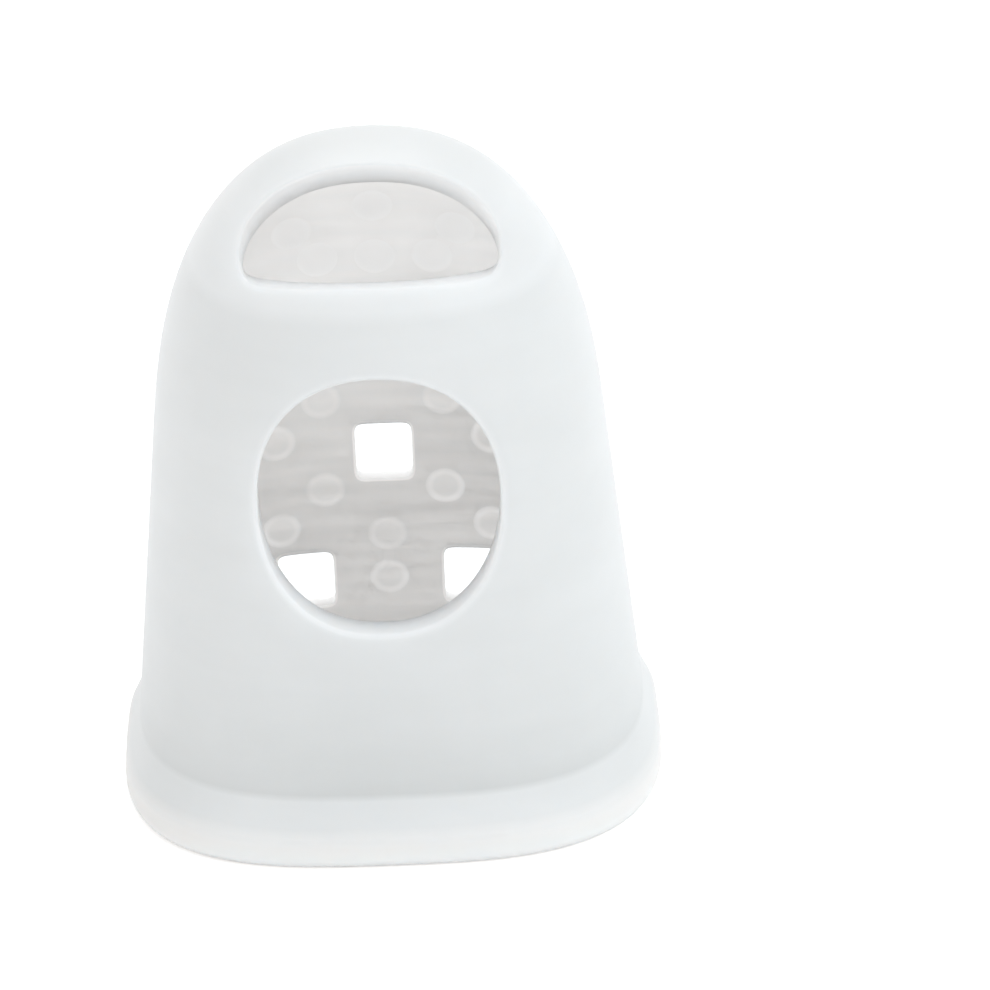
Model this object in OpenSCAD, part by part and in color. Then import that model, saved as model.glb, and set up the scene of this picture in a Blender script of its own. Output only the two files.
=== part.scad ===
// Silicone finger cot: a one-piece thimble with a round tip, a nail slot, a window, vents and grip dots.
// Its open end stands on the ground plane. The nail side faces -Y and the pad side faces +Y.

/* [Body] */
// Height from the underside of the rim to the tip
body_h = 27.8; // [25:0.1:34]
// Width over the wall at the rim, without the lip
base_w = 22; // [19:0.1:25]
// Reach of the wall from its widest line to the nail side, at the rim
base_nail = 10.2; // [8.5:0.1:12]
// Reach of the wall from its widest line to the pad side, at the rim
base_pad = 7; // [6:0.1:10]
// Height of the shoulder, where the round tip starts
shoulder_z = 16; // [13:0.1:19]
// Width over the wall at the shoulder
shoulder_w = 18.5; // [16:0.1:21]
// Reach to the nail side at the shoulder
shoulder_nail = 9; // [7:0.1:11]
// Reach to the pad side at the shoulder
shoulder_pad = 6.1; // [5:0.1:9]
// Fullness of the round tip, where 2 is an ellipse
tip_fullness = 2.5; // [2:0.1:3.2]
// Squareness of the section at the rim, where 2 is an ellipse
base_squareness = 3; // [2:0.1:4]
// Squareness of the section at the tip
tip_squareness = 2.15; // [2:0.05:3]
// Thickness of the wall, on the nail side and round the lip
wall = 1.2; // [0.8:0.1:1.8]
// Thickness of the wall on the pad side, above the lip
pad_wall = 0.7; // [0.5:0.05:1.2]
// Thickness of the tip
tip_wall = 1.3; // [0.8:0.1:2]

/* [Lip] */
// How far the lip stands out from the wall
lip_out = 0.5; // [0.2:0.05:1.2]
// Height of the lip's upright side
lip_h = 1.4; // [1.1:0.1:2.4]
// Height of the flare that runs from the lip into the wall
flare_h = 1.65; // [0.8:0.05:3]
// Hollow of the flare, where 1 is a straight cone
flare_curve = 1.3; // [1:0.1:2]
// Rounding of the lip's lower edge
lip_edge_r = 0.5; // [0.2:0.05:0.8]
// Rounding of the mouth's inner edge
mouth_edge_r = 0.4; // [0.1:0.05:0.6]

/* [Window] */
// Width of the round window in the nail side
window_w = 9.6; // [6:0.1:12]
// Height of the window
window_h = 10.6; // [6:0.1:12]
// Height of the window's centre above the rim
window_z = 15.5; // [12:0.1:17]
// Squareness of the window, where 2 is an ellipse
window_squareness = 2.2; // [2:0.1:4]

/* [Nail slot] */
// Width of the slot
slot_w = 10.3; // [7:0.1:12]
// Rise of the slot from its sill to the crown of its arch
slot_rise = 5.5; // [3.5:0.1:6]
// Drop from the tip to the slot's sill
slot_drop = 3.7; // [3.2:0.1:5]
// Height of the arch above the slot's widest line
slot_arch_h = 3.2; // [2:0.1:3.5]
// Squareness of the slot's arch
slot_squareness = 2.3; // [2:0.1:4]
// Direction in which the slot is cut, in degrees above level
slot_aim = 50; // [35:1:60]
// Outward climb of the sill, in degrees
sill_climb = 12; // [0:1:25]

/* [Vents] */
// Width of a vent in the pad side
vent_w = 2.45; // [1.5:0.05:3]
// Height of a vent
vent_h = 2.7; // [1.5:0.05:3.4]
// Rounding of a vent's corners
vent_corner_r = 0.3; // [0.1:0.05:0.6]
// Height of the lower pair's centres
vent_z = 4.6; // [4.5:0.05:6]
// Rise from the lower pair to the single vent
vent_rise = 6.3; // [5:0.05:8]
// Distance of the lower pair's centres from the middle
vent_x = 3.65; // [2.8:0.05:4.5]

/* [Grip dots] */
// Diameter of a dot
dot_d = 1.65; // [1:0.05:2]
// Height of a dot above the pad side
dot_h = 0.3; // [0.1:0.05:0.5]
// Slope of a dot's side, as the amount its radius loses
dot_draft = 0.2; // [0.05:0.05:0.3]
// Distance of the inner columns of dots from the middle
dot_near_x = 2.6; // [2.2:0.05:2.9]
// Distance of the outer columns of dots from the middle
dot_far_x = 4.6; // [4.4:0.05:5.2]
// Distance between rows of dots
dot_pitch_z = 2.2; // [2.1:0.05:2.4]
// Rise of a row from its middle to the inner columns, a quarter of its rise to the outer ones
row_bow = 0.12; // [0:0.02:0.2]
// Number of staggered rows of dots above the lower vents
dot_rows = 6; // [3:1:6]
// Drop from the tip to the last straight row of dots
tip_row_drop = 7.4; // [7:0.1:9]
// Distance of that row's outer dots from the middle
tip_row_x = 2.4; // [2.2:0.1:3]
// Drop from the tip to the middle dot of the arc over that row
tip_arc_drop = 4.8; // [4.4:0.1:5]
// Distance of the arc's outer dots from the middle
tip_arc_x = 3.4; // [2.6:0.1:4]
// Sag of the arc from its middle dot to its outer dots
tip_arc_sag = 1.1; // [0.5:0.1:1.5]
// Least bare silicone between a dot and a vent
dot_gap = 0.05; // [0:0.05:0.5]

/* [Hidden] */

SIDES = 72;
DOME_STEPS = 14;
WALL_STEPS = 5;
FLARE_STEPS = 6;
EDGE_STEPS = 4;
ARCH_POINTS = 48;
$fn = 32;

// Reach of a cutter past the surface that it cuts
past = 5;
// Depth that a dot sinks into the wall to join it
dot_root = pad_wall / 2;
nail_reach = base_nail + lip_out;
pad_reach = base_pad + lip_out;
flare_top = lip_h + flare_h;
sill_z = body_h - slot_drop;
silicone = [0.89, 0.91, 0.92];

function blend(a, b, t) = a + (b - a) * t;

// Half sizes of the wall's outside at height z, before the round tip draws them in
function half_w(z) = blend(base_w, shoulder_w, z / shoulder_z) / 2;
function nail_side(z) = blend(base_nail, shoulder_nail, z / shoulder_z);
function pad_side(z) = blend(base_pad, shoulder_pad, z / shoulder_z);
function squareness(z) = blend(base_squareness, tip_squareness, z / body_h);

// Share of the full section that is left at height z under a tip at height top
function tip_share(z, top) =
    z <= shoulder_z ? 1
    : z >= top ? 0
    : pow(1 - pow((z - shoulder_z) / (top - shoulder_z), tip_fullness), 1 / tip_fullness);

// How far the lip and its flare stand out from the wall at height z
function flare(z) =
    z <= lip_h ? lip_out
    : z >= flare_top ? 0
    : lip_out * pow(1 - (z - lip_h) / flare_h, flare_curve);

// How far the pad side's inner face stands back at height z, as the lip's wall thins to the pad wall
function relief(z) = (wall - pad_wall) * min(1, z / flare_top);

// Distance from the middle to a squared oval with half sizes w and d, in direction a
function oval_r(a, w, d, n) = pow(pow(abs(cos(a)) / w, n) + pow(abs(sin(a)) / d, n), -1 / n);

function oval(w, d, n, count) = [
    for (i = [0 : count - 1])
        let (a = 360 * i / count)
        oval_r(a, w, d, n) * [cos(a), sin(a)]
];

// A square with rounded corners
function rounded_square(w, h, r) = [
    for (corner = [0 : 3], i = [0 : EDGE_STEPS])
        let (
            a = 90 * (corner + i / EDGE_STEPS),
            right = corner == 0 || corner == 3 ? 1 : -1,
            up = corner < 2 ? 1 : -1
        )
        [right * (w / 2 - r) + r * cos(a), up * (h / 2 - r) + r * sin(a)]
];

// One ring of the moulding at height z, grown outwards by grow, under a tip at height top, with the pad side set back
function ring(z, grow, top, back = 0) =
    let (share = tip_share(z, top), n = squareness(z))
    [
        for (i = [0 : SIDES - 1])
            let (
                a = 360 * i / SIDES,
                depth = (sin(a) < 0 ? nail_side(z) : pad_side(z) + back) + grow,
                r = share * oval_r(a, half_w(z) + grow, depth, n)
            )
            [r * cos(a), r * sin(a), z]
    ];

// Heights of the rings of a round tip, from its shoulder up, without its pole
function tip_heights(top) = [
    for (i = [0 : DOME_STEPS - 1])
        shoulder_z + (top - shoulder_z) * pow(sin(90 * i / DOME_STEPS), 2 / tip_fullness)
];

function spread(low, high, steps) = [for (i = [1 : steps]) blend(low, high, i / steps)];

function backwards(list) = [for (i = [len(list) - 1 : -1 : 0]) list[i]];

// Rings from the outer pole down to the rim and up inside to the inner pole
outer_rings = concat(
    [for (z = backwards(tip_heights(body_h))) ring(z, 0, body_h)],
    [for (z = backwards(spread(flare_top, shoulder_z, WALL_STEPS))) if (z < shoulder_z) ring(z, 0, body_h)],
    [for (z = backwards(spread(lip_h, flare_top, FLARE_STEPS))) ring(z, flare(z), body_h)],
    [ring(lip_h, lip_out, body_h)],
    [
        for (i = [0 : EDGE_STEPS])
            let (a = 90 * i / EDGE_STEPS)
            ring(lip_edge_r * (1 - sin(a)), lip_out - lip_edge_r * (1 - cos(a)), body_h)
    ]
);
inner_top = body_h - tip_wall;
function inner_ring(z, grow) = ring(z, grow, inner_top, relief(z));
inner_rings = concat(
    [
        for (i = [0 : EDGE_STEPS])
            let (a = 90 * i / EDGE_STEPS)
            inner_ring(mouth_edge_r * (1 - cos(a)), mouth_edge_r * (1 - sin(a)) - wall)
    ],
    [for (z = spread(mouth_edge_r, flare_top, 2)) inner_ring(z, -wall)],
    [for (z = spread(flare_top, shoulder_z, WALL_STEPS)) if (z < shoulder_z) inner_ring(z, -wall)],
    [for (z = tip_heights(inner_top)) inner_ring(z, -wall)]
);
skin_rings = concat(outer_rings, inner_rings);

// Point on the pad side's outer face, and the way that face looks there
function pad_point(x, z) =
    let (
        share = tip_share(z, body_h),
        n = squareness(z),
        across = abs(x) / (share * half_w(z))
    )
    [x, share * pad_side(z) * pow(1 - pow(across, n), 1 / n), z];

function pad_normal(x, z) =
    let (
        step = 0.05,
        along_x = pad_point(x + step, z) - pad_point(x - step, z),
        along_z = pad_point(x, z + step) - pad_point(x, z - step),
        n = cross(along_z, along_x)
    )
    n / norm(n);

vents = [[-vent_x, vent_z], [vent_x, vent_z], [0, vent_z + vent_rise]];

// No dot stands where it would run into a vent
function clear_of_vents(x, z) =
    len([
        for (v = vents)
            if (abs(x - v[0]) < (vent_w + dot_d) / 2 + dot_gap && abs(z - v[1]) < (vent_h + dot_d) / 2 + dot_gap) 1
    ]) == 0;

function column_x(column) = sign(column) * (abs(column) == 2 ? dot_far_x : dot_near_x);

// A dot between the lower vents, staggered rows above it, then a straight row and an arc near the tip
dots = concat(
    [[0, vent_z]],
    [
        for (row = [1 : dot_rows], column = [-2 : 2])
            let (x = column_x(column), z = vent_z + row * dot_pitch_z + row_bow * column * column)
            if ((row + column) % 2 != 0 && clear_of_vents(x, z)) [x, z]
    ],
    [for (side = [-1 : 1]) [side * tip_row_x, body_h - tip_row_drop]],
    [for (side = [-1 : 1]) [side * tip_arc_x, body_h - tip_arc_drop - abs(side) * tip_arc_sag]]
);

module moulding(rings) {
    count = len(rings);
    points = concat([[0, 0, body_h]], [for (r = rings) each r], [[0, 0, inner_top]]);
    last = len(points) - 1;
    faces = concat(
        [for (i = [0 : SIDES - 1]) [0, 1 + (i + 1) % SIDES, 1 + i]],
        [
            for (k = [0 : count - 2], i = [0 : SIDES - 1], half = [0, 1])
                let (
                    a = 1 + k * SIDES + i,
                    b = 1 + k * SIDES + (i + 1) % SIDES
                )
                half == 0 ? [a, b, b + SIDES] : [a, b + SIDES, a + SIDES]
        ],
        [for (i = [0 : SIDES - 1]) [last, last - SIDES + i, last - SIDES + (i + 1) % SIDES]]
    );
    polyhedron(points = points, faces = faces);
}

module window() {
    translate([0, 0, window_z])
        rotate([90, 0, 0])
            linear_extrude(height = nail_reach + past)
                polygon(oval(window_w / 2, window_h / 2, window_squareness, ARCH_POINTS));
}

// An arched opening over a straight sill, cut square to the nail side's shoulder
module slot() {
    translate([0, -nail_side(sill_z) * tip_share(sill_z, body_h), sill_z])
        intersection() {
            rotate([90 - slot_aim, 0, 0])
                translate([0, slot_rise - slot_arch_h, -slot_rise / 2])
                    linear_extrude(height = slot_rise / 2 + past)
                        polygon(oval(slot_w / 2, slot_arch_h, slot_squareness, ARCH_POINTS));
            rotate([-sill_climb, 0, 0])
                translate([-slot_w, -past, 0])
                    cube([2 * slot_w, nail_reach + past, slot_rise + past]);
        }
}

module vent(x, z) {
    translate([x, 0, z])
        rotate([-90, 0, 0])
            linear_extrude(height = pad_reach + past)
                polygon(rounded_square(vent_w, vent_h, vent_corner_r));
}

module dot(x, z) {
    n = pad_normal(x, z);
    translate(pad_point(x, z))
        rotate([0, 0, -atan2(n[0], n[1])])
            rotate([asin(n[2]) - 90, 0, 0])
                translate([0, 0, -dot_root]) {
                    cylinder(d = dot_d, h = dot_root);
                    translate([0, 0, dot_root])
                        cylinder(d1 = dot_d, d2 = dot_d - 2 * dot_draft, h = dot_h);
                }
}

module finger_cot() {
    color(silicone)
        translate([0, (nail_reach - pad_reach) / 2, 0])
            difference() {
                union() {
                    moulding(skin_rings);
                    for (p = dots)
                        dot(p[0], p[1]);
                }
                window();
                slot();
                for (p = vents)
                    vent(p[0], p[1]);
            }
}

finger_cot();
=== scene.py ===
# %% [markdown]
# # A finger cot of milky silicone
# A finger cot is a small soft thimble. It is pulled over a fingertip to grip pages or to keep the skin from
# heat and needles. This one is moulded in a single shot: a tapering oval sleeve with a round tip, a flared
# lip round the open end, a slot for the fingernail, an oval window, three square vents and a field of small
# grip dots on the pad side.
#
# The packed part is the frame: it says where everything is, in metres. The sizes below are the maker's own,
# and the frame's box gives the height.

# %% Open the frame
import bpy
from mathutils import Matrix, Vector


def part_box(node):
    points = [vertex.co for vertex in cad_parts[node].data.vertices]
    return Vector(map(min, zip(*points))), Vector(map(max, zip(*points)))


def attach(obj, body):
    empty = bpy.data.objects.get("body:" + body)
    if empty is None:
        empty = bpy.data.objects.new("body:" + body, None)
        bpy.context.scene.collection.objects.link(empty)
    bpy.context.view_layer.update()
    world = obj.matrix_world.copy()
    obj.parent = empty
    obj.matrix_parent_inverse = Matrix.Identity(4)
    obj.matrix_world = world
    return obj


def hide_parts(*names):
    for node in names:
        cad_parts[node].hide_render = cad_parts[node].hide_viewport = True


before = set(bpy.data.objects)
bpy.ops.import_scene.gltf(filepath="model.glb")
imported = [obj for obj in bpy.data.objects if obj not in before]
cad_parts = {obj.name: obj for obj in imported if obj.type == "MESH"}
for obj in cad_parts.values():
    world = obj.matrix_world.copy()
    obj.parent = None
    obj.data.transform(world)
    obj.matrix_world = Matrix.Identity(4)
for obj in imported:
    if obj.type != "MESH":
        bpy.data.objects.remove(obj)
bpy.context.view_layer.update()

from types import SimpleNamespace

import bpy
import numpy as np
from mathutils import Matrix, Vector
from mathutils.geometry import delaunay_2d_cdt
from mathutils.kdtree import KDTree

low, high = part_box("finger_cot")
print("frame box in mm:", [round(1000 * (b - a), 2) for a, b in zip(low, high)])

# %% Sizes of the sleeve
mm = 0.001
sleeve = {
    "body_height": high.z - low.z,
    "rim_width": 22 * mm,
    "rim_to_nail": 10.2 * mm,
    "rim_to_pad": 7 * mm,
    "shoulder_height": 16 * mm,
    "shoulder_width": 18.5 * mm,
    "shoulder_to_nail": 9 * mm,
    "shoulder_to_pad": 6.1 * mm,
    "tip_fullness": 2.5,
    "rim_squareness": 3.0,
    "tip_squareness": 2.15,
    "pad_relief": 0.5 * mm,
    "tip_wall": 1.3 * mm,
}
cot = SimpleNamespace(**sleeve)
WALL = 1.2 * mm

LIP_OUT = 0.5 * mm
LIP_H = 1.4 * mm
FLARE_H = 1.65 * mm
FLARE_TOP = LIP_H + FLARE_H
FLARE_CURVE = 1.3
LIP_EDGE_R = 0.5 * mm
MOUTH_EDGE_R = 0.4 * mm
print("sleeve height in mm:", round(cot.body_height / mm, 2))

# %% [markdown]
# ## Node trees written as sums
# The sleeve's shape and its silicone are both node trees, and both are mostly arithmetic. Placing Math
# nodes one by one hides the formula, so one small class wraps an output socket and turns Python's operators
# into Math nodes. The reflected operators make `1 - mask` work as well as `mask - 1`. Every other node
# comes from one method.

# %% A wire and its sums
class Wire:
    """One output of a node. Arithmetic on it adds Math nodes to its tree."""

    def __init__(self, bench, socket):
        self.bench = bench
        self.socket = socket

    def also(self, name):
        """Another output of the same node."""
        return Wire(self.bench, self.socket.node.outputs[name])

    def math(self, operation, *others):
        return self.bench.math(operation, self, *others)

    def __add__(self, other):
        return self.math("ADD", other)

    def __radd__(self, other):
        return self.math("ADD", other)

    def __sub__(self, other):
        return self.math("SUBTRACT", other)

    def __rsub__(self, other):
        return self.bench.math("SUBTRACT", other, self)

    def __mul__(self, other):
        return self.math("MULTIPLY", other)

    def __rmul__(self, other):
        return self.math("MULTIPLY", other)

    def __truediv__(self, other):
        return self.math("DIVIDE", other)

    def __rtruediv__(self, other):
        return self.bench.math("DIVIDE", other, self)

    def __pow__(self, other):
        return self.math("POWER", other)

    def __abs__(self):
        return self.math("ABSOLUTE")

    def __lt__(self, other):
        return self.math("LESS_THAN", other)


print("methods of a wire:", [name.strip("_") for name, it in vars(Wire).items() if callable(it)])


# %% A bench to join wires on
class Bench:
    """A node tree with one method that adds any node."""

    def __init__(self, tree):
        self.tree = tree

    def node(self, kind, settings=None, sockets=None, take=0):
        """Adds a node: its settings first, then the values or links of its sockets."""
        made = self.tree.nodes.new(kind)
        for name, value in (settings or {}).items():
            setattr(made, name, value)
        for key, value in (sockets or {}).items():
            if isinstance(value, Wire):
                self.tree.links.new(value.socket, made.inputs[key])
            else:
                made.inputs[key].default_value = value
        return Wire(self, made.outputs[take]) if len(made.outputs) else made

    def math(self, operation, *values):
        return self.node("ShaderNodeMath", {"operation": operation}, dict(enumerate(values)))

    def colours(self, share, first, second, how="MIX"):
        """Two colours mixed, because a Math node would turn them grey."""
        return self.node("ShaderNodeMix", {"data_type": "RGBA", "blend_type": how},
                         {"Factor": share, "A": first, "B": second}, take="Result")


def cosine(angle):
    return angle.math("COSINE") if isinstance(angle, Wire) else np.cos(angle)


def sine(angle):
    return angle.math("SINE") if isinstance(angle, Wire) else np.sin(angle)


def held(value, lowest=0.0, highest=1.0):
    """A value kept between two limits."""
    if isinstance(value, Wire):
        return value.math("MAXIMUM", lowest).math("MINIMUM", highest)
    return np.clip(value, lowest, highest)


def blend(start, end, share):
    return start + (end - start) * share


print("held and blended as numbers:", held(1.4), blend(2.0, 4.0, 0.5))

# %% [markdown]
# ## The rule of the sleeve
# The mould is a loft: at every height the wall is a squared oval, wide across the finger, deeper to the
# nail side than to the pad side, squarer at the rim than at the tip. Over the shoulder the oval draws in to
# a point along a full curve. The two functions below say just that. They take plain numbers, whole arrays
# or wires, so one formula serves the cutting of the openings here and the Geometry Nodes tree that later
# bends the sheet into the sleeve.

# %% Height and direction to reach
OUTSIDE, INSIDE = 0, 1


def tip_share(z, side, c):
    """Share of the full section left at a height."""
    top = c.body_height - side * c.tip_wall
    climb = held((z - c.shoulder_height) / (top - c.shoulder_height))
    return (1 - climb ** c.tip_fullness) ** (1 / c.tip_fullness)


def reach(turn, z, grow, side, c):
    """Distance from the middle line to a skin, in a direction and at a height."""
    width = blend(c.rim_width, c.shoulder_width, z / c.shoulder_height) / 2 + grow
    nail = blend(c.rim_to_nail, c.shoulder_to_nail, z / c.shoulder_height) + grow
    relief = side * c.pad_relief * held(z / FLARE_TOP)
    pad = blend(c.rim_to_pad, c.shoulder_to_pad, z / c.shoulder_height) + grow + relief
    depth = blend(pad, nail, sine(turn) < 0)
    squareness = blend(c.rim_squareness, c.tip_squareness, z / c.body_height)
    oval = (abs(cosine(turn)) / width) ** squareness + (abs(sine(turn)) / depth) ** squareness
    return tip_share(z, side, c) * oval ** (-1 / squareness)


to_all_sides = reach(np.radians([0, 90, -90]), cot.shoulder_height, 0, OUTSIDE, cot)
print("reach at the shoulder in mm, sideways, to the pad and to the nail:", np.round(to_all_sides / mm, 2))


# %% Points on the sleeve
def place(turn, z, grow, side):
    """Points on a skin, about the sleeve's own middle line."""
    r = reach(turn, z, grow, side, cot)
    return np.stack(np.broadcast_arrays(r * np.cos(turn), r * np.sin(turn), z), axis=-1)


def meet(start, aim, side, halvings=50):
    """The points where rays that start inside the sleeve leave one of its skins."""
    near = np.zeros(len(start))
    far = np.full(len(start), 2 * cot.body_height)
    for _ in range(halvings):
        middle = (near + far) / 2
        x, y, z = (start + middle[:, None] * aim).T
        inside = np.hypot(x, y) < reach(np.arctan2(y, x), z, -side * WALL, side, cot)
        near = np.where(inside, middle, near)
        far = np.where(inside, far, middle)
    return start + near[:, None] * aim


level_hit = meet(np.array([[0.0, 0.0, cot.shoulder_height]]), np.array([0.0, 1.0, 0.0]), INSIDE)
print("a level ray to the pad side meets the inner skin at, in mm:", np.round(level_hit[0] / mm, 2))

# %% [markdown]
# ## Each skin laid flat
# Openings with crisp, evenly rounded edges need rows of faces that follow them. That is easiest to draw on
# a flat sheet, as a glove maker does: the tip is the middle of a disc and the rim is its edge. The disc
# shrinks towards the tip at the rate at which the sleeve's circumference shrinks, so shapes keep their
# angles and triangles stay even.

# %% A skin as a flat disc
COLUMNS = 180
ROW = 0.32 * mm
WALL_SAMPLES, TIP_SAMPLES = 400, 4000


class Skin:
    """One face of the wall, above the flare, laid flat as a disc with the tip in the middle."""

    def __init__(self, side):
        self.side = side
        self.grow = -side * WALL
        top = cot.body_height - side * cot.tip_wall
        wall_z = np.linspace(FLARE_TOP, cot.shoulder_height, WALL_SAMPLES)[:-1]
        climb = np.sin(np.linspace(0, np.pi / 2, TIP_SAMPLES)) ** (2 / cot.tip_fullness)
        self.z = np.concatenate([wall_z, cot.shoulder_height + (top - cot.shoulder_height) * climb])
        self.radius = reach(0.0, self.z, self.grow, side, cot)
        step = np.hypot(np.diff(self.z), np.diff(self.radius))
        self.along = np.concatenate([[0], np.cumsum(step)])
        mean_radius = (self.radius[1:] + self.radius[:-1]) / 2
        self.disc_r = np.exp(-np.concatenate([[0], np.cumsum(step / mean_radius)]))

    def flat(self, turn, z):
        r = np.interp(z, self.z, self.disc_r)
        return np.stack([r * np.cos(turn), r * np.sin(turn)], axis=-1)

    def unflat(self, points):
        z = np.interp(np.hypot(*points.T), self.disc_r[::-1], self.z[::-1])
        return np.arctan2(points[:, 1], points[:, 0]), z

    def stretch(self, points):
        """Flat units to a metre of silicone at each point."""
        r = np.hypot(*points.T)
        return r / np.interp(r, self.disc_r[::-1], self.radius[::-1])


skins = [Skin(OUTSIDE), Skin(INSIDE)]
print("from rim to tip along the skins in mm:", [round(s.along[-1] / mm, 1) for s in skins])

# %% [markdown]
# ## The openings
# Each opening is a ray cast through the wall at every point of its outline: level for the window and the
# vents, and climbing for the nail slot, whose sill is a flatter cut of its own. Rays give one point on the
# outer skin and one on the inner skin, so the wall of an opening is a clean strip between the two.
# Averaging neighbours on the flat sheet rounds the corners, as a cutter of finite size does.

# %% Outlines of the window and the vents
WINDOW_W, WINDOW_H, WINDOW_Z, WINDOW_SQUARENESS = 9.6 * mm, 10.6 * mm, 15.5 * mm, 2.2
WINDOW_POINTS = 144
VENT_W, VENT_H, VENT_Z = 2.45 * mm, 2.7 * mm, 4.6 * mm
VENT_X, VENT_RISE = 3.65 * mm, 6.3 * mm
VENTS = [(-VENT_X, VENT_Z), (VENT_X, VENT_Z), (0.0, VENT_Z + VENT_RISE)]
VENT_SIDE_POINTS = 14


def oval(angle, half_w, half_h, squareness):
    r = ((np.abs(np.cos(angle)) / half_w) ** squareness + (np.abs(np.sin(angle)) / half_h) ** squareness)
    return r ** (-1 / squareness) * np.stack([np.cos(angle), np.sin(angle)])


def window_rays():
    angle = np.linspace(0, 2 * np.pi, WINDOW_POINTS, endpoint=False)
    x, rise = oval(angle, WINDOW_W / 2, WINDOW_H / 2, WINDOW_SQUARENESS)
    start = np.stack([x, np.zeros_like(x), WINDOW_Z + rise], axis=-1)
    return start, np.array([0.0, -1.0, 0.0])


def vent_rays(x, z):
    run = np.linspace(-1, 1, VENT_SIDE_POINTS, endpoint=False)
    full = np.ones(VENT_SIDE_POINTS)
    across = np.concatenate([-run, -full, run, full])
    rise = np.concatenate([-full, run, full, -run])
    start = np.stack([x + VENT_W / 2 * across, 0 * across, z + VENT_H / 2 * rise], axis=-1)
    return start, np.array([0.0, 1.0, 0.0])


print("points round the window and each vent:", WINDOW_POINTS, 4 * VENT_SIDE_POINTS)


# %% An outline on both skins
def softened(loop, reach_steps, passes=3):
    """A closed flat loop with its corners worn round."""
    for _ in range(passes):
        turned = [np.roll(loop, k, axis=0) for k in range(-reach_steps, reach_steps + 1)]
        loop = sum(turned) / (2 * reach_steps + 1)
    return loop


def cast(rays, soften_steps):
    """An outline on both skins' flat sheets."""
    loops = []
    for skin in skins:
        x, y, z = meet(*rays, skin.side).T
        loop = skin.flat(np.arctan2(y, x), z)
        loops.append(softened(loop, soften_steps) if soften_steps else loop)
    return loops


window_loops = cast(window_rays(), 0)
vent_loops = [cast(vent_rays(*vent), 1) for vent in VENTS]
window_heights = skins[OUTSIDE].unflat(window_loops[OUTSIDE])[1]
print("window from and to height in mm:", np.round([window_heights.min() / mm, window_heights.max() / mm], 2))

# %% The nail slot, an arch over a sill
SLOT_W, SLOT_RISE, SLOT_ARCH_H, SLOT_SQUARENESS = 10.3 * mm, 5.5 * mm, 3.2 * mm, 2.3
SILL_Z = cot.body_height - 3.7 * mm
SLOT_AIM, SILL_CLIMB = np.radians(50), np.radians(12)
# How far behind the nail side the slot's rays start
ARCH_BACK, SILL_BACK = 3.5 * mm, 5 * mm
ARCH_POINTS, SILL_POINTS = 100, 60


def slot_loop(skin, halvings=40):
    """The slot's outline on one skin: the arch from end to end, then the sill back."""
    nail = blend(cot.rim_to_nail, cot.shoulder_to_nail, SILL_Z / cot.shoulder_height)
    foot = np.array([0.0, -nail * tip_share(SILL_Z, OUTSIDE, cot), SILL_Z])
    aim = np.array([0.0, -np.cos(SLOT_AIM), np.sin(SLOT_AIM)])
    up = np.array([0.0, np.sin(SLOT_AIM), np.cos(SLOT_AIM)])
    out = np.array([0.0, -np.cos(SILL_CLIMB), np.sin(SILL_CLIMB)])
    over_sill = np.array([0.0, np.sin(SILL_CLIMB), np.cos(SILL_CLIMB)])
    across = np.array([1.0, 0.0, 0.0])
    centre = foot + (SLOT_RISE - SLOT_ARCH_H) * up - ARCH_BACK * aim

    def arch(angle):
        u, v = oval(angle, SLOT_W / 2, SLOT_ARCH_H, SLOT_SQUARENESS)
        return meet(centre + u[:, None] * across + v[:, None] * up, aim, skin.side)

    low_end, high_end = -np.pi / 2, np.pi / 6
    for _ in range(halvings):
        end = (low_end + high_end) / 2
        above = (arch(np.array([end])) - foot) @ over_sill > 0
        low_end, high_end = (low_end, end) if above[0] else (end, high_end)
    arched = arch(np.linspace(end, np.pi - end, ARCH_POINTS))
    sill_x = np.linspace(arched[-1, 0], arched[0, 0], SILL_POINTS)[1:-1]
    sill = meet(foot - SILL_BACK * out + sill_x[:, None] * across, out, skin.side)
    x, y, z = np.concatenate([arched, sill]).T
    return softened(skin.flat(np.arctan2(y, x), z), 2)


slot_loops = [slot_loop(skin) for skin in skins]
slot_heights = skins[OUTSIDE].unflat(slot_loops[OUTSIDE])[1]
print("slot from and to height in mm:", np.round([slot_heights.min() / mm, slot_heights.max() / mm], 2))

# %% [markdown]
# ## The grip dots
# The dots stand in staggered rows that bow upwards, with a straight row and an arc over them at the tip,
# and a dot that would touch a vent is left out. Each is a set of rings on the skin, drawn square to the pad
# side, so that the tree can raise a clean round dot on the outer skin and the material can find the dot's
# foot on the inner one.

# %% Places of the dots
DOT_R = 1.65 * mm / 2
DOT_H = 0.3 * mm
DOT_TOP_R = DOT_R - 0.2 * mm
DOT_GAP = 0.05 * mm
COLUMN_X = {-2: -4.6 * mm, -1: -2.6 * mm, 0: 0.0, 1: 2.6 * mm, 2: 4.6 * mm}
DOT_PITCH_Z, DOT_ROWS, ROW_BOW = 2.2 * mm, 6, 0.12 * mm
TIP_ROW_X, TIP_ROW_DROP = 2.4 * mm, 7.4 * mm
TIP_ARC_X, TIP_ARC_DROP, TIP_ARC_SAG = 3.4 * mm, 4.8 * mm, 1.1 * mm


def by_a_vent(x, z):
    clear = DOT_R + DOT_GAP
    return any(abs(x - vx) < VENT_W / 2 + clear and abs(z - vz) < VENT_H / 2 + clear for vx, vz in VENTS)


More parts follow.
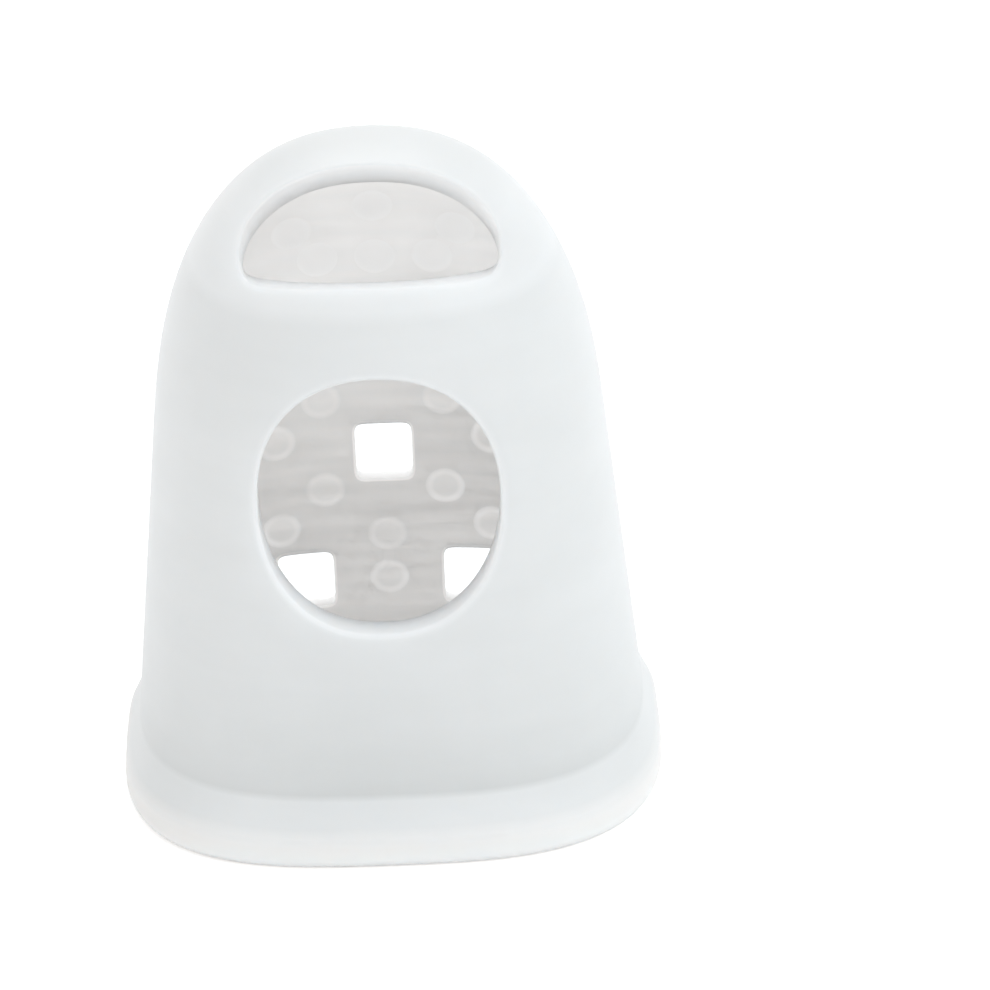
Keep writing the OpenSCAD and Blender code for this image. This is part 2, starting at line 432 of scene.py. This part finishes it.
def dot_places():
    """Across and up for each dot: one between the lower vents, staggered rows, a straight row and an arc."""
    places = [(0.0, VENT_Z)]
    for row in range(1, DOT_ROWS + 1):
        for column, x in COLUMN_X.items():
            z = VENT_Z + row * DOT_PITCH_Z + ROW_BOW * column ** 2
            if (row + column) % 2 and not by_a_vent(x, z):
                places.append((x, z))
    places += [(k * TIP_ROW_X, cot.body_height - TIP_ROW_DROP) for k in (-1, 0, 1)]
    places += [(k * TIP_ARC_X, cot.body_height - TIP_ARC_DROP - abs(k) * TIP_ARC_SAG) for k in (-1, 0, 1)]
    return places


dots = dot_places()
print("grip dots:", len(dots))

# %% Rings round a dot
DOT_RINGS = np.array([0.3, 0.6, 0.72, 0.78, 0.84, 0.9, 0.95, 1.0, 1.05]) * DOT_R
DOT_SIDES = 24


def dot_rings(x, z, skin):
    """Rings round one dot's middle on a skin, cast square to the pad side."""
    step = 0.05 * mm
    level = np.array([0.0, 1.0, 0.0])
    corners = np.array([[x, 0, z], [x + step, 0, z], [x - step, 0, z], [x, 0, z + step], [x, 0, z - step]])
    middle, right, left, above, below = meet(corners, level, OUTSIDE)
    normal = np.cross(above - below, right - left)
    normal /= np.linalg.norm(normal)
    across = np.cross(normal, [0.0, 0.0, 1.0])
    across /= np.linalg.norm(across)
    up = np.cross(across, normal)
    angle = np.linspace(0, 2 * np.pi, DOT_SIDES, endpoint=False)
    rim = np.cos(angle)[:, None] * across + np.sin(angle)[:, None] * up
    start = np.concatenate([[middle], *[middle + r * rim for r in DOT_RINGS]]) * [1, 0, 1]
    from_middle = np.concatenate([[0.0], np.repeat(DOT_RINGS, DOT_SIDES)])
    px, py, pz = meet(start, level, skin.side).T
    return np.arctan2(py, px), pz, from_middle


print("corners of one dot:", len(dot_rings(*dots[0], skins[OUTSIDE])[0]))

# %% [markdown]
# ## One closed sheet
# The sheet is a mesh of corners that each carry six numbers: the direction, the height, how far the skin is
# grown, which side of the wall it is on, how far it is from the middle of a grip dot, and how much painted
# light it gets as part of an opening's cut edge. The first four say where the corner goes, and the last two
# are for the dots and the silicone's look. Rows of corners cover both skins, a constrained Delaunay
# triangulation joins them round the openings, strips of quads line each opening, and rings of quads run
# round the lip and into the mouth.

# %% The sheet and how corners are added to it
class Sheet:
    """Corners of the flat sheet with their numbers, and the faces between them."""

    def __init__(self):
        self.rows = []
        self.count = 0
        self.faces = []
        self.soft_edges = {}

    def add(self, turn, z, grow, side, from_dot=1.0, edge=0.0):
        row = np.stack(np.broadcast_arrays(turn, z, grow, side, from_dot, edge), axis=-1)
        self.rows.append(row)
        first = self.count
        self.count += len(row)
        return np.arange(first, self.count)

    def band(self, inner, outer, flip=False):
        """Quads between two closed rows of corners, facing the viewer when inner is the smaller one."""
        for a, b, c, d in zip(inner, outer, np.roll(outer, -1), np.roll(inner, -1)):
            self.faces.append((a, d, c, b) if flip else (a, b, c, d))

    def soften(self, loop, amount):
        for a, b in zip(loop, np.roll(loop, -1)):
            self.soft_edges[(min(a, b), max(a, b))] = amount


sheet = Sheet()
print("corners on the new sheet:", sheet.count)

# %% Round the lip and into the mouth
RIM_TURN = 2 * np.pi * np.arange(COLUMNS) / COLUMNS
FLARE_ROWS, ROUND_ROWS, MOUTH_ROWS = 19, 9, 8


def flare(z):
    """How far the lip's flare stands out from the wall."""
    climb = np.clip((z - LIP_H) / FLARE_H, 0, 1)
    return LIP_OUT * (1 - climb) ** FLARE_CURVE


def lip_profile():
    """Height, growth and side of each row from the top of the flare, under the rim and up into the mouth."""
    quarter = np.linspace(0, np.pi / 2, ROUND_ROWS)
    rows = [(z, flare(z), OUTSIDE) for z in np.linspace(FLARE_TOP, LIP_H, FLARE_ROWS)]
    rows += [(LIP_H - (LIP_H - LIP_EDGE_R) * t, LIP_OUT, OUTSIDE) for t in (1 / 3, 2 / 3)]
    rows += [(LIP_EDGE_R * (1 - np.sin(a)), LIP_OUT - LIP_EDGE_R * (1 - np.cos(a)), OUTSIDE) for a in quarter]
    rows += [(MOUTH_EDGE_R * (1 - np.cos(a)), MOUTH_EDGE_R * (1 - np.sin(a)) - WALL, INSIDE) for a in quarter]
    rows += [(z, -WALL, INSIDE) for z in np.linspace(MOUTH_EDGE_R, FLARE_TOP, MOUTH_ROWS)[1:]]
    return rows


def wrap_lip():
    """Adds the lip's rows and the quads between them, and gives the first and the last row."""
    rows = [sheet.add(RIM_TURN, *row) for row in lip_profile()]
    for above, below in zip(rows, rows[1:]):
        sheet.band(above, below)
    return rows[0], rows[-1]


rim_rows = wrap_lip()
print("rows round the lip:", len(lip_profile()), "corners:", sheet.count)


# %% Flat helpers for the skins
def widened(loop, by, skin):
    """A closed flat loop moved outwards by a distance on the silicone."""
    ahead = np.roll(loop, -1, axis=0) - np.roll(loop, 1, axis=0)
    out = np.stack([ahead[:, 1], -ahead[:, 0]], axis=-1)
    out /= np.linalg.norm(out, axis=1)[:, None]
    return loop + out * (by * skin.stretch(loop))[:, None]


def within(points, loop):
    """Which flat points lie inside a closed flat loop."""
    x, y = points[:, 0, None], points[:, 1, None]
    (ax, ay), (bx, by) = loop.T, np.roll(loop, -1, axis=0).T
    straddles = (ay > y) != (by > y)
    rise = np.where(by == ay, 1.0, by - ay)
    return (straddles & (x < ax + (y - ay) * (bx - ax) / rise)).sum(axis=1) % 2 == 1


def within_any(points, loops):
    return np.any([within(points, loop) for loop in loops], axis=0)


def grid_rows(skin, fewest=12, tightest=0.6):
    """Even rows of places on a skin, with half as many columns each time the round tip gets tight."""
    turns, heights = [], []
    for along in np.arange(ROW, skin.along[-1] - ROW / 2, ROW):
        z = np.interp(along, skin.along, skin.z)
        share = np.interp(along, skin.along, skin.radius) / skin.radius[0]
        columns = COLUMNS
        while share < tightest * columns / COLUMNS and columns > fewest:
            columns = columns // 2
        turns.append(2 * np.pi * np.arange(columns) / columns)
        heights.append(np.full(columns, z))
    turns.append(np.zeros(1))
    heights.append(skin.z[-1:])
    return np.concatenate(turns), np.concatenate(heights)


def joined(flat, fixed, cut, closest=1e-8):
    """Triangles between flat points that keep the fixed edges and leave the cut loops open."""
    drawn = delaunay_2d_cdt([Vector(at) for at in flat], fixed, [], 0, closest)
    source = np.array([origin[0] for origin in drawn[3]])
    triangles = source[np.array(drawn[2])]
    kept = triangles[~within_any(flat[triangles].mean(axis=1), cut)]
    first, second, third = (flat[kept[:, k]] for k in range(3))
    turned = np.cross(second - first, third - first) < 0
    kept[turned] = kept[turned][:, ::-1]
    return kept


print("grid places on each skin:", [len(grid_rows(skin)[0]) for skin in skins])

# %% [markdown]
# ## Collars round the openings
# Two rows of corners follow each opening at an even distance. They keep the triangulation's uneven faces
# away from the soft edge, and they let the edge's glow, which is painted light on the cut edge, fade out
# along a smooth line: each collar has its distance and the share of the glow that is left there. An opening
# also says how far its outer and inner edge are softened, and how strongly each of the two edges is painted
# with light.

# %% Cover both skins
WIDE = [(0.24 * mm, 0.15), (0.38 * mm, 0.0)]
NARROW = [(0.11 * mm, 1.0), (0.17 * mm, 0.0)]
# A grid place nearer than this to a fixed corner is left out
NEAREST = 0.6 * ROW
# glow: painted light on each opening's outer and inner cut edge
openings = [
    SimpleNamespace(loops=window_loops, collars=WIDE, softness=(1.0, 0.4), glow=(0.6, 1.0)),
    SimpleNamespace(loops=slot_loops, collars=WIDE, softness=(1.0, 0.4), glow=(0.15, 1.0)),
]
openings += [
    SimpleNamespace(loops=loops, collars=NARROW, softness=(0.3, 0.15), glow=(1.0, 1.0))
    for loops in vent_loops
]


def cover(skin, rim_row):
    """Fills a skin between its rim row, the collars round its openings and the rings of its dots."""
    inside = skin.side == INSIDE
    ids, places, fixed, cut, filled, edges = [], [], [], [], [], []

    def fix(row_ids, row_flat, closed=True):
        first = sum(len(row) for row in ids)
        ids.append(row_ids)
        places.append(row_flat)
        if closed:
            ring = first + np.arange(len(row_ids))
            fixed.extend(zip(ring.tolist(), np.roll(ring, -1).tolist()))

    def corners(flat, edge):
        return sheet.add(*skin.unflat(flat), skin.grow, skin.side, edge=edge)

    fix(rim_row, skin.flat(RIM_TURN, FLARE_TOP))
    for opening in openings:
        # The cut edge's glow is painted light, fading out over the collars
        outline, glow = opening.loops[skin.side], opening.glow[skin.side]
        rows = [corners(outline, glow)]
        for by, share in opening.collars:
            collar = widened(outline, by, skin)
            rows.append(corners(collar, share * glow))
            sheet.band(*rows[-2:], inside)
        fix(rows[-1], collar)
        cut.append(collar)
        edges.append(rows[0])
    for dot in dots:
        turn, z, from_dot = dot_rings(*dot, skin)
        ring_ids = sheet.add(turn, z, skin.grow, skin.side, from_dot)
        ring_flat = skin.flat(turn, z)
        fix(ring_ids[:1], ring_flat[:1], closed=False)
        for k in range(1, len(ring_ids), DOT_SIDES):
            fix(ring_ids[k:k + DOT_SIDES], ring_flat[k:k + DOT_SIDES])
        filled.append(ring_flat[-DOT_SIDES:])

    turn, z = grid_rows(skin)
    flat = skin.flat(turn, z)
    free = ~within_any(flat, cut + filled)
    standing = np.concatenate([place(*skin.unflat(row), skin.grow, skin.side) for row in places])
    taken = KDTree(len(standing))
    for k, at in enumerate(standing):
        taken.insert(at, k)
    taken.balance()
    free &= np.array([taken.find(at)[2] > NEAREST for at in place(turn, z, skin.grow, skin.side)])
    fix(sheet.add(turn[free], z[free], skin.grow, skin.side), flat[free], closed=False)

    for a, b, c in np.concatenate(ids)[joined(np.concatenate(places), fixed, cut)].tolist():
        sheet.faces.append((a, c, b) if inside else (a, b, c))
    return edges


edges = [cover(skin, rim_row) for skin, rim_row in zip(skins, rim_rows)]
print("sheet corners:", sheet.count, "faces:", len(sheet.faces))


# %% Line the openings and make the mesh
def line_openings():
    """Quads through the wall, from each opening's outer edge to its inner one."""
    for outer, inner, opening in zip(*edges, openings):
        for a, b, c, d in zip(outer, np.roll(outer, -1), np.roll(inner, -1), inner):
            sheet.faces.append((a, b, c, d))
        sheet.soften(outer, opening.softness[OUTSIDE])
        sheet.soften(inner, opening.softness[INSIDE])


def sheet_mesh():
    """The flat sheet as a mesh, with its numbers as attributes."""
    numbers = np.concatenate(sheet.rows)
    turn, height = numbers[:, 0], numbers[:, 1]
    disc = np.stack([height * np.cos(turn), height * np.sin(turn), 0 * height])
    mesh = bpy.data.meshes.new("flat_sheet")
    mesh.from_pydata(disc.T.tolist(), [], [tuple(map(int, face)) for face in sheet.faces])
    for name, column in zip(("turn", "height", "grow", "side", "from_dot", "edge"), numbers.T):
        mesh.attributes.new(name, "FLOAT", "POINT").data.foreach_set("value", column.astype(np.float32))
    weights = [sheet.soft_edges.get(tuple(sorted(edge.vertices)), 0.0) for edge in mesh.edges]
    mesh.attributes.new("bevel_weight_edge", "FLOAT", "EDGE").data.foreach_set("value", weights)
    return mesh


line_openings()
flat_sheet = sheet_mesh()
print("flat sheet:", len(flat_sheet.vertices), "corners,", len(flat_sheet.polygons), "faces")

# %% [markdown]
# ## Silicone
# Milky silicone is neither clear nor opaque: light enters, scatters for some millimetres and leaves
# somewhere else. Subsurface scattering on the closed shell does exactly that. How far the light gets
# depends on how much silicone is in its way, so the material mixes three depths. Most of the cot is milky.
# Where the light comes from behind, through the slender pad wall and at the tip, and on the cut edges and the
# dots, a lit copy of the silicone with a deeper scatter lets it through; that copy and its warmer colour are
# painted light. The lip's foot and the nail side's cut edges are dense: they give the light back close to
# where it fell.
#
# The sheet's numbers tell where that is, and also where the colour is painted lighter or darker. Painted
# light whitens the inner skin, the inside of the tip and its dots, the lip's foot and the cut edges of the
# openings, and a painted warm bounce tints the lip's outer face. The lip and its flare are whiter partly
# for their thicker silicone and partly as painted light. Painted shade greys the wall just above the flare
# and the flare's flanks. The outer skin is whiter from just under the sill to near the top. The foot of
# each dot shows through the wall as a faint ring, painted as a highlight. Flow marks of the moulding and a
# cloudiness of a few millimetres vary the rest.

# %% Helpers for a finish
def new_material(name):
    material = bpy.data.materials.new(name)
    material.use_nodes = True
    material.node_tree.nodes.clear()
    return material, Bench(material.node_tree)


def ramp(value, start, end):
    """0 at start and 1 at end, held level outside."""
    return held((value - start) / (end - start))


silicone, silicone_bench = new_material("milky_silicone")
print("material:", silicone.name, "and a ramp from 0 to 4 at 1:", ramp(1.0, 0.0, 4.0))


# %% Where on the cot a point lies
def zones(bench):
    """Masks from 0 to 1, from the sheet's numbers and the point's own place."""

    def number(name):
        return bench.node("ShaderNodeAttribute", {"attribute_name": name}, take="Fac")

    spot = bench.node("ShaderNodeTexCoord", take="Object")
    across = bench.node("ShaderNodeSeparateXYZ", {}, {0: spot}, take="X")
    height, inside = number("height"), number("side")
    outside = 1 - inside
    flare_zone = ramp(height, FLARE_TOP + 0.1 * mm, FLARE_TOP - 0.2 * mm)
    pad_side = ramp(across.also("Y"), 0.0, 1 * mm)
    over_sill = ramp(height, SILL_Z + 0.3 * mm, SILL_Z + 1.1 * mm)
    from_sill = ramp(height, SILL_Z - 1.3 * mm, SILL_Z - 0.8 * mm)
    to_top = ramp(height, cot.body_height - 0.3 * mm, cot.body_height - 2.3 * mm)
    return SimpleNamespace(
        spot=spot,
        inside=inside,
        edge=number("edge"),
        from_dot=number("from_dot") / DOT_R,
        lip=ramp(height, LIP_H + 0.4 * mm, LIP_H - 0.3 * mm),
        lip_face=ramp(height, LIP_H + 0.5 * mm, LIP_H - 0.4 * mm) * outside,
        lip_foot=ramp(height, 1.3 * mm, 0.4 * mm) * outside,
        flare=flare_zone,
        # Masks for painted shade: the flare's flanks and the wall just above the flare
        painted_shade_flanks=ramp(abs(across), 6 * mm, 10 * mm) * flare_zone * outside,
        painted_shade_over_flare=ramp(height, 8 * mm, FLARE_TOP) * (1 - flare_zone) * outside,
        low=ramp(height, 10 * mm, 4 * mm),
        round_slot=from_sill * to_top * outside,
        inner_tip=inside * ramp(height, 15 * mm, 21 * mm),
        lit_behind=held(pad_side + over_sill),
    )


at = zones(silicone_bench)
print("zones:", ", ".join(vars(at)))

# %% What the moulding leaves, and painted highlights on the dots
# Where a dot's faint ring, a painted highlight, lies and how far it fades on both sides, as shares of the
# dot's radius
RING_AT, RING_FADE = 0.88, 0.28


def marks(bench, at):
    """Flow, streaks, cloudiness and grain, and the painted highlights where the grip dots show through the
    wall.
    """

    def noise(scale, detail, stretch=(1.0, 1.0, 1.0)):
        along = bench.node("ShaderNodeVectorMath", {"operation": "MULTIPLY"}, {0: at.spot, 1: stretch})
        return bench.node("ShaderNodeTexNoise", {"noise_dimensions": "3D"},
                          {"Vector": along, "Scale": scale, "Detail": detail, "Roughness": 0.5})

    full_ring = held(1.3 * (1 - abs(at.from_dot - RING_AT) / RING_FADE))
    broken = held(2.5 * noise(350.0, 1.0) - 0.6, 0.3, 1.0)
    return SimpleNamespace(
        # Painted highlight on the ring round each dot's foot
        ring=full_ring * broken * (1 - 0.6 * at.inner_tip),
        dot=ramp(at.from_dot, 1.0, 0.8),
        # Painted light on the dots inside the tip
        blob=ramp(at.from_dot, 1.1, 0.5) * at.inner_tip,
        flow=noise(110.0, 3.0, (1.0, 1.0, 5.0)) - 0.5,
        streaks=noise(300.0, 4.0, (0.6, 0.6, 7.0)) - 0.5,
        cloud=noise(160.0, 3.0) - 0.5,
        grain=noise(3000.0, 2.0),
    )


mark = marks(silicone_bench, at)
print("marks:", ", ".join(vars(mark)))

# %% How white and how lit through
def whiteness(at, mark):
    """Share of the way from the greyest silicone to the whitest, with painted light and painted shade in it.
    """
    # Whiter zones: painted light on the inner skin and the lip's foot; the flare and the lip partly for their
    # thicker silicone and partly as painted light; the outer skin from just under the sill to near the top.
    whiter_zones = 0.3 * at.inside + 0.15 * at.flare + 0.3 * at.lip + 0.25 * at.lip_foot + 0.12 * at.round_slot
    # Painted shade on the wall just above the flare and on the flare's flanks
    painted_shade = 0.2 * at.painted_shade_over_flare + 0.15 * at.painted_shade_flanks
    # Painted light on the cut edges and the inside of the tip, and painted highlights on the dots' rings and
    # on the dots inside the tip
    lighter = 0.6 * at.edge + 0.2 * at.inner_tip + 0.3 * mark.ring + 0.5 * mark.blob
    moulded = (0.15 + 0.3 * at.inside) * mark.flow + 0.2 * mark.cloud
    return held(0.3 + whiter_zones - painted_shade + lighter + moulded)


def lit_through(at, mark):
    """Share of the lit copy of the silicone, painted light where the light comes through the wall from
    behind.
    """
    # Where the lit copy goes: painted light inside the tip, on the cut edges and low on the wall
    lit_copy_base = 0.18 + 0.72 * at.inner_tip + 1.8 * at.edge + 0.2 * at.low
    dotted = 0.45 * mark.ring + 0.38 * mark.dot + 0.5 * mark.blob
    return held(at.inside + 4 * at.edge) * at.lit_behind * (lit_copy_base + dotted + 0.9 * mark.streaks)


white_share, lit_share = whiteness(at, mark), lit_through(at, mark)
dense_share = 1.3 * at.edge * (1 - at.lit_behind) + 0.8 * at.lip_foot
print("nodes for the three shares:", len(silicone.node_tree.nodes))

# %% Three depths of silicone
MILK_GREY, MILK_WHITE = (0.62, 0.63, 0.625, 1.0), (0.98, 0.982, 0.98, 1.0)
# Colours of the lit copy, warmer than the milk: painted light that came through the wall
GLOW_GREY, GLOW_WHITE = (0.78, 0.7, 0.64, 1.0), (1.0, 0.975, 0.955, 1.0)
# Painted warm bounce light on the lip's outer face
LIP_WARM_BOUNCE = (1.0, 0.96, 0.93, 1.0)
MILKY_DEPTH, LIT_DEPTH, DENSE_DEPTH = 3 * mm, 9 * mm, 1 * mm


def pour(bench):
    """Joins the three depths and ends the silicone's tree."""
    milk = bench.colours(white_share, MILK_GREY, MILK_WHITE)
    # Painted warm bounce light on the lip's outer face
    milk = bench.colours(at.lip_face, milk, LIP_WARM_BOUNCE, "MULTIPLY")
    # The lit copy's warmer colour is painted light
    glow = bench.colours(white_share, GLOW_GREY, GLOW_WHITE)
    grain = bench.node("ShaderNodeBump", {}, {"Strength": 0.12, "Distance": 0.02 * mm, "Height": mark.grain})

    def body(colour, depth):
        return bench.node("ShaderNodeBsdfPrincipled", {"subsurface_method": "RANDOM_WALK"}, {
            "Base Color": colour,
            "Roughness": 0.42 + 0.15 * mark.cloud,
            "IOR": 1.41,
            "Normal": grain,
            "Subsurface Weight": 1.0,
            "Subsurface Radius": (1.07, 1.0, 0.95),
            "Subsurface Scale": depth,
        })

    def mixed(share, first, second):
        return bench.node("ShaderNodeMixShader", {}, {0: held(share), 1: first, 2: second})

    shader = mixed(lit_share, body(milk, MILKY_DEPTH), body(glow, LIT_DEPTH))
    shader = mixed(dense_share, shader, body(milk, DENSE_DEPTH))
    bench.node("ShaderNodeOutputMaterial", {}, {"Surface": shader})


pour(silicone_bench)
print("nodes in the silicone:", len(silicone.node_tree.nodes))

# %% [markdown]
# ## The sheet bent into the sleeve
# The tree reads each corner's numbers and puts it where the rule says, then lifts the outer skin over every
# grip dot by the corner's distance from the dot's middle. Sizes are named inputs, so the same sheet can be
# bent into a longer or a fuller cot. A Bevel modifier rounds the edges of the openings by the weights that
# the sheet carries, and the result becomes one plain mesh.

# %% The tree that bends the sheet
dot_sizes = {
    "dot_height": DOT_H,
    "dot_foot": DOT_R * 1.02,
    "dot_top": DOT_TOP_R,
    "shift": (cot.rim_to_nail - cot.rim_to_pad) / 2,
}
tree_sizes = {**sleeve, **dot_sizes}


def label(name):
    return name.replace("_", " ").capitalize()


def bending_tree(material):
    tree = bpy.data.node_groups.new("bend_into_sleeve", "GeometryNodeTree")
    tree.interface.new_socket("Sheet", in_out="INPUT", socket_type="NodeSocketGeometry")
    for name in tree_sizes:
        tree.interface.new_socket(label(name), in_out="INPUT", socket_type="NodeSocketFloat")
    tree.interface.new_socket("Sleeve", in_out="OUTPUT", socket_type="NodeSocketGeometry")
    bench = Bench(tree)
    given = bench.node("NodeGroupInput", take="Sheet")

    def number(name):
        return bench.node("GeometryNodeInputNamedAttribute", {"data_type": "FLOAT"}, {"Name": name})

    c = SimpleNamespace(**{name: given.also(label(name)) for name in tree_sizes})
    turn, z, side = number("turn"), number("height"), number("side")
    r = reach(turn, z, number("grow"), side, c)
    spot = bench.node("ShaderNodeCombineXYZ", {},
                      {"X": r * cosine(turn), "Y": r * sine(turn) + c.shift, "Z": z})
    bent = bench.node("GeometryNodeSetPosition", {}, {"Geometry": given, "Position": spot})

    slope = held((c.dot_foot - number("from_dot")) / (c.dot_foot - c.dot_top))
    rise = (1 - side) * c.dot_height * slope * slope * (3 - 2 * slope)
    lift = bench.node("ShaderNodeVectorMath", {"operation": "SCALE"},
                      {"Vector": bench.node("GeometryNodeInputNormal"), "Scale": rise})
    dotted = bench.node("GeometryNodeSetPosition", {}, {"Geometry": bent, "Offset": lift})
    smooth = bench.node("GeometryNodeSetShadeSmooth", {}, {"Geometry": dotted})
    real = bench.node("GeometryNodeRealizeInstances", {}, {"Geometry": smooth})
    dressed = bench.node("GeometryNodeSetMaterial", {}, {"Geometry": real, "Material": material})
    bench.node("NodeGroupOutput", {}, {"Sleeve": dressed})
    return tree


bend_into_sleeve = bending_tree(silicone)
print("nodes in the bending tree:", len(bend_into_sleeve.nodes))

# %% The cot as one mesh
EDGE_SOFTNESS, EDGE_STEPS = 0.2 * mm, 5


def set_input(modifier, name, value):
    for item in modifier.node_group.interface.items_tree:
        if item.in_out == "INPUT" and item.name == name:
            modifier[item.identifier] = value


def finished(name, draft):
    """One plain mesh object from a draft object and its modifiers."""
    view = bpy.context.evaluated_depsgraph_get()
    mesh = bpy.data.meshes.new_from_object(draft.evaluated_get(view), depsgraph=view)
    bpy.data.objects.remove(draft)
    mesh.name = name
    piece = bpy.data.objects.new(name, mesh)
    bpy.context.scene.collection.objects.link(piece)
    return piece


def make_cot():
    draft = bpy.data.objects.new("flat_sheet", flat_sheet)
    bpy.context.scene.collection.objects.link(draft)
    bend = draft.modifiers.new("bend", "NODES")
    bend.node_group = bend_into_sleeve
    for name, value in tree_sizes.items():
        set_input(bend, label(name), value)
    soften = draft.modifiers.new("soften", "BEVEL")
    soften.limit_method = "WEIGHT"
    soften.width = EDGE_SOFTNESS
    soften.segments = EDGE_STEPS
    soften.use_clamp_overlap = False
    return finished("silicone_cot", draft)


silicone_cot = make_cot()
corner_box = [[round(v / mm, 2) for v in silicone_cot.bound_box[k]] for k in (0, 6)]
print("cot:", len(silicone_cot.data.polygons), "faces, box in mm", corner_box)
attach(silicone_cot, "root")
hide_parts("finger_cot")

# %% [markdown]
# ## Floor, light and camera
# The cot stands on a matt floor in a plain pale studio. The world is a soft dome, a touch warmer at the
# horizon than overhead. Three soft lamps give the form its sides: a large cool one from the upper right, a
# small warm one low in front, and a large warm one from behind, which shines through the pad wall and
# lights the inside. For rays straight from the camera, and for those that arrive by gloss or through a
# clear body, floor and world are lifted to white, so the background is white without more light on the
# object.

# %% Floor and world
WHITE = (1.0, 1.0, 1.0, 1.0)
HORIZON, ZENITH = (1.0, 0.985, 0.98, 1.0), (0.95, 0.98, 1.0, 1.0)
FLOOR_COLOUR, FLOOR_LIFT = (0.95, 0.95, 0.95, 1.0), 0.3


def seen_directly(bench):
    """1 for the rays that should find a white background."""
    path = bench.node("ShaderNodeLightPath", take="Is Camera Ray")
    return held(path + path.also("Is Glossy Ray") + path.also("Is Transmission Ray"))


def pale_floor():
    material, bench = new_material("pale_floor")
    matt = bench.node("ShaderNodeBsdfDiffuse", {}, {"Color": FLOOR_COLOUR})
    strength = FLOOR_LIFT * seen_directly(bench)
    lift = bench.node("ShaderNodeEmission", {}, {"Color": WHITE, "Strength": strength})
    both = bench.node("ShaderNodeAddShader", {}, {0: matt, 1: lift})
    bench.node("ShaderNodeOutputMaterial", {}, {"Surface": both})
    return material


def make_floor(half=1.5):
    mesh = bpy.data.meshes.new("studio_floor")
    corners = [(-half, -half, 0), (half, -half, 0), (half, half, 0), (-half, half, 0)]
    mesh.from_pydata(corners, [], [(0, 1, 2, 3)])
    mesh.materials.append(pale_floor())
    made = bpy.data.objects.new("studio_floor", mesh)
    bpy.context.scene.collection.objects.link(made)
    return made


def make_world(strength=0.9):
    world = bpy.data.worlds.new("studio")
    world.use_nodes = True
    world.node_tree.nodes.clear()
    bench = Bench(world.node_tree)
    way = bench.node("ShaderNodeTexCoord", take="Generated")
    up = bench.node("ShaderNodeSeparateXYZ", {}, {0: way}, take="Z")
    direct = seen_directly(bench)
    colour = bench.colours(direct, bench.colours(held(up), HORIZON, ZENITH), WHITE)
    back = bench.node("ShaderNodeBackground", {}, {"Color": colour, "Strength": blend(strength, 1.0, direct)})
    bench.node("ShaderNodeOutputWorld", {}, {"Surface": back})
    bpy.context.scene.world = world
    return world


floor = make_floor()
world = make_world()
print("floor and world:", floor.name, world.name)

# %% Lamps
MIDDLE = Vector((0, 0, cot.body_height / 2))
COOL, WARM = (0.78, 0.92, 1.0), (1.0, 0.97, 0.93)


def soft_lamp(name, place_at, size, power, colour):
    """A round lamp that faces the middle of the cot."""
    data = bpy.data.lights.new(name, "AREA")
    data.shape = "DISK"
    data.size = size
    data.energy = power
    data.color = colour
    lamp = bpy.data.objects.new(name, data)
    lamp.location = place_at
    lamp.rotation_euler = (MIDDLE - Vector(place_at)).to_track_quat("-Z", "Y").to_euler()
    bpy.context.scene.collection.objects.link(lamp)
    return lamp


lamps = [
    soft_lamp("key", (0.25, -0.12, 0.32), size=0.3, power=0.31, colour=COOL),
    soft_lamp("front", (0.1, -0.44, 0.055), size=0.1, power=0.17, colour=WARM),
    soft_lamp("back", (0.0, 0.3, 0.34), size=0.3, power=0.32, colour=WARM),
]
print("lamps and their power in watts:", {lamp.name: round(lamp.data.energy, 2) for lamp in lamps})

# %% The camera
def look(tilt, turn, roll, distance, aside, over, lens):
    """Places the camera by its angles, aimed beside the object so that the frame needs no shift."""
    tilt, turn, roll = np.radians([tilt, turn, roll])
    back = Vector((np.sin(turn) * np.cos(tilt), -np.cos(turn) * np.cos(tilt), np.sin(tilt)))
    right = Vector((np.cos(turn), np.sin(turn), 0))
    up = back.cross(right)
    centre = Vector((0, dot_sizes["shift"], cot.body_height / 2))
    stands = centre + aside * right + over * up + distance * back
    leaning_right = right * np.cos(roll) - up * np.sin(roll)
    leaning_up = right * np.sin(roll) + up * np.cos(roll)
    data = bpy.data.cameras.new("camera")
    data.sensor_width = 36
    data.lens = lens
    data.clip_start = 0.01
    camera = bpy.data.objects.new("camera", data)
    leaning = Matrix((leaning_right, leaning_up, back)).transposed().to_4x4()
    camera.matrix_world = Matrix.Translation(stands) @ leaning
    bpy.context.scene.collection.objects.link(camera)
    bpy.context.scene.camera = camera
    return camera


camera = look(tilt=27, turn=-0.68, roll=1.8, distance=160 * mm, aside=4.67 * mm, over=-2.14 * mm, lens=140.2)
bpy.context.scene.view_settings.view_transform = "Standard"
print("camera stands at, in mm:", [round(v / mm, 1) for v in camera.matrix_world.translation])
